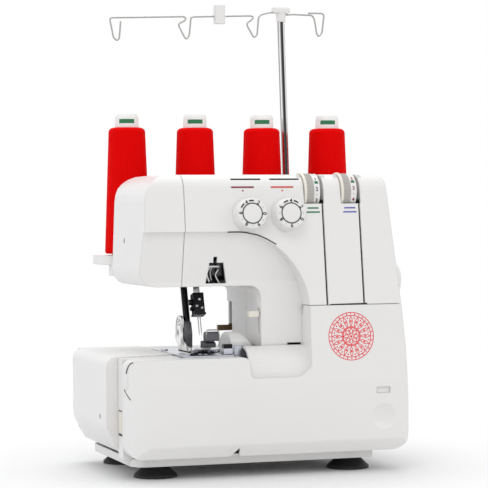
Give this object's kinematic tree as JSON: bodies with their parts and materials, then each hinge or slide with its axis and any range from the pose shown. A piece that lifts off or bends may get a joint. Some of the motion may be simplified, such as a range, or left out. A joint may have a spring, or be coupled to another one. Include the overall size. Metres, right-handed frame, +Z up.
{
  "type": "serger sewing machine",
  "caption": "Free-arm overlock sewing machine: leaning needle and presser bars, knives and loopers behind hinged covers, tension dials, hand wheel, and a thread stand carrying wound red cones.",
  "frame": {"origin": "centre of the footprint at table height, under the middle of the overall width and depth", "axes": "+X to the right of the person sewing, towards the hand wheel; +Y to the back; +Z up"},
  "size_m": [0.32, 0.2073, 0.493],
  "materials": {
    "casing": "semi-gloss moulded plastic",
    "foot_rubber": "soft black rubber",
    "frame_alloy": "cast, matt",
    "steel": "machined",
    "cream_plastic": "semi-gloss",
    "brown_plastic": "semi-gloss",
    "plate_steel": "fine ground",
    "dark_metal": "blackened",
    "bright_steel": "plated",
    "dial_grey": "matt",
    "belt": "matt",
    "motor_black": "matt",
    "core_white": "matt",
    "red_thread": "wound thread with a soft sheen",
    "lamp_lens": "frosted"
  },
  "bodies": {
    "machine": {"base_pan": "casing", "rubber_feet": "foot_rubber", "frame": "frame_alloy", "arm_housing": "casing", "face_cover": "casing", "rear_cover": "casing", "side_cover": "casing", "bed_trim": "casing", "cloth_hinge_pin": "steel", "needle_plate": "plate_steel", "screws": "steel", "lower_knife": "bright_steel", "thread_guides": "steel", "tension_discs": "steel", "timing_belt": "belt", "drive_belt": "belt", "motor": "motor_black", "spool_tray": "casing", "spool_pins": "dial_grey", "pole_tube": "bright_steel", "lamp": "lamp_lens", "power_inlet": "motor_black"},
    "hinge_carrier": {"hinge_rod": "steel"},
    "front_door": {"front_cover": "casing"},
    "cloth_door": {"cloth_cover": "casing"},
    "latch": {"cover_latch": "cream_plastic"},
    "main_feed": {"main_feed_dog": "steel"},
    "front_feed": {"front_feed_dog": "steel"},
    "moving_knife": {"upper_knife": "dark_metal"},
    "upper_looper_arm": {"upper_looper": "bright_steel"},
    "lower_looper_arm": {"lower_looper": "bright_steel"},
    "needle_unit": {"needle_bar": "bright_steel", "needle_clamp": "dark_metal", "needles": "bright_steel"},
    "presser_unit": {"presser_bar": "dark_metal", "presser_foot": "bright_steel"},
    "lifter": {"presser_lifter": "brown_plastic"},
    "take_up": {"take_up_lever": "bright_steel"},
    "width_slider": {"width_lever": "cream_plastic"},
    "left_dial": {"left_needle_dial": "cream_plastic"},
    "right_dial": {"right_needle_dial": "cream_plastic"},
    "upper_dial": {"upper_looper_dial": "dial_grey"},
    "lower_dial": {"lower_looper_dial": "dial_grey"},
    "drive": {"hand_wheel": "casing", "main_shaft": "steel"},
    "lower_drive": {"lower_shaft": "steel"},
    "motor_drive": {"motor_pulley": "steel"},
    "feed_setting": {"feed_lever": "casing"},
    "spool_1": {"core_1": "core_white", "thread_1": "red_thread"},
    "spool_2": {"core_2": "core_white", "thread_2": "red_thread"},
    "spool_3": {"core_3": "core_white", "thread_3": "red_thread"},
    "spool_4": {"core_4": "core_white", "thread_4": "red_thread"},
    "mast": {"pole_rod": "bright_steel"},
    "mast_top": {"guide_head": "casing", "guide_wire": "bright_steel", "wire_clip": "casing"}
  },
  "joints": [
    {"name": "cover_slide", "type": "slide", "parent": "machine", "child": "hinge_carrier", "axis": [1, 0, 0], "range_m": [0, 0.005]},
    {"name": "cover_tilt", "type": "hinge", "parent": "hinge_carrier", "child": "front_door", "pos_m": [0, -0.09, 0.0275], "axis": [1, 0, 0], "range_deg": [0, 85]},
    {"name": "cloth_cover_swing", "type": "hinge", "parent": "machine", "child": "cloth_door", "pos_m": [-0.155, 0.0905, 0.085], "axis": [0, 0, 1], "range_deg": [-85, 0]},
    {"name": "latch_press", "type": "slide", "parent": "machine", "child": "latch", "axis": [1, 0, 0], "range_m": [0, 0.002], "stiffness_N_per_m": 400},
    {"name": "main_feed_stroke", "type": "slide", "parent": "machine", "child": "main_feed", "axis": [0, 1, 0], "range_m": [-0.003, 0.003]},
    {"name": "front_feed_stroke", "type": "slide", "parent": "machine", "child": "front_feed", "axis": [0, 1, 0], "range_m": [-0.003, 0.003]},
    {"name": "knife_stroke", "type": "slide", "parent": "machine", "child": "moving_knife", "axis": [0, 0, -1], "range_m": [0, 0.009]},
    {"name": "upper_looper_swing", "type": "hinge", "parent": "machine", "child": "upper_looper_arm", "pos_m": [-0.026, -0.0515, 0.05], "axis": [0, 1, 0], "range_deg": [-20, 4]},
    {"name": "lower_looper_swing", "type": "hinge", "parent": "machine", "child": "lower_looper_arm", "pos_m": [-0.052, -0.0395, 0.05], "axis": [0, 1, 0], "range_deg": [-12, 18]},
    {"name": "needle_stroke", "type": "slide", "parent": "machine", "child": "needle_unit", "axis": [0, -0.2924, -0.9563], "range_m": [0, 0.027]},
    {"name": "presser_lift", "type": "slide", "parent": "machine", "child": "presser_unit", "axis": [0, 0.2924, 0.9563], "range_m": [0, 0.006]},
    {"name": "lifter_turn", "type": "hinge", "parent": "machine", "child": "lifter", "pos_m": [0, -0.03, 0.219], "axis": [1, 0, 0], "range_deg": [0, 12.5]},
    {"name": "take_up_swing", "type": "hinge", "parent": "machine", "child": "take_up", "pos_m": [0, -0.0435, 0.217], "axis": [1, 0, 0], "range_deg": [-25, 0]},
    {"name": "width_slide", "type": "slide", "parent": "machine", "child": "width_slider", "axis": [0, 0, 1], "range_m": [-0.017, 0.0025]},
    {"name": "left_needle_tension", "type": "hinge", "parent": "machine", "child": "left_dial", "pos_m": [-0.019, -0.08639, 0.264], "axis": [0, -0.9914, 0.1305], "range_deg": [-150, 150]},
    {"name": "right_needle_tension", "type": "hinge", "parent": "machine", "child": "right_dial", "pos_m": [0.0223, -0.08639, 0.264], "axis": [0, -0.9914, 0.1305], "range_deg": [-150, 150]},
    {"name": "upper_looper_tension", "type": "hinge", "parent": "machine", "child": "upper_dial", "pos_m": [0.0505, -0.0655, 0.287], "axis": [1, 0, 0], "range_deg": [-160, 160]},
    {"name": "lower_looper_tension", "type": "hinge", "parent": "machine", "child": "lower_dial", "pos_m": [0.0905, -0.0655, 0.287], "axis": [1, 0, 0], "range_deg": [-160, 160]},
    {"name": "hand_wheel_turn", "type": "hinge", "parent": "machine", "child": "drive", "pos_m": [0.151, -0.0435, 0.195], "axis": [1, 0, 0], "continuous": true},
    {"name": "lower_shaft_turn", "type": "hinge", "parent": "machine", "child": "lower_drive", "pos_m": [0, -0.0195, 0.07], "axis": [1, 0, 0], "continuous": true},
    {"name": "motor_turn", "type": "hinge", "parent": "machine", "child": "motor_drive", "pos_m": [0.115, 0.0515, 0.062], "axis": [1, 0, 0], "continuous": true},
    {"name": "stitch_length_swing", "type": "hinge", "parent": "machine", "child": "feed_setting", "pos_m": [0.129, -0.0685, 0.1685], "axis": [0, 1, 0], "range_deg": [0, 20]},
    {"name": "spool_1_lift", "type": "slide", "parent": "machine", "child": "spool_1", "axis": [0, 0, 1], "range_m": [0, 0.078]},
    {"name": "spool_2_lift", "type": "slide", "parent": "machine", "child": "spool_2", "axis": [0, 0, 1], "range_m": [0, 0.078]},
    {"name": "spool_3_lift", "type": "slide", "parent": "machine", "child": "spool_3", "axis": [0, 0, 1], "range_m": [0, 0.078]},
    {"name": "spool_4_lift", "type": "slide", "parent": "machine", "child": "spool_4", "axis": [0, 0, 1], "range_m": [0, 0.078]},
    {"name": "mast_slide", "type": "slide", "parent": "machine", "child": "mast", "axis": [0, 0.0785, 0.9969], "range_m": [-0.06, 0]},
    {"name": "mast_top_turn", "type": "hinge", "parent": "mast", "child": "mast_top", "pos_m": [0.08039, 0.09769, 0.478], "axis": [0, 0.0785, 0.9969], "range_deg": [-12, 12]}
  ],
  "couplings": [
    {"joint": "front_feed_stroke", "follows": "main_feed_stroke", "ratio": 1},
    {"joint": "lower_shaft_turn", "follows": "hand_wheel_turn", "ratio": 1},
    {"joint": "motor_turn", "follows": "hand_wheel_turn", "ratio": 3.75},
    {"joint": "lifter_turn", "follows": "presser_lift", "rad_per_m": 34.907}
  ]
}
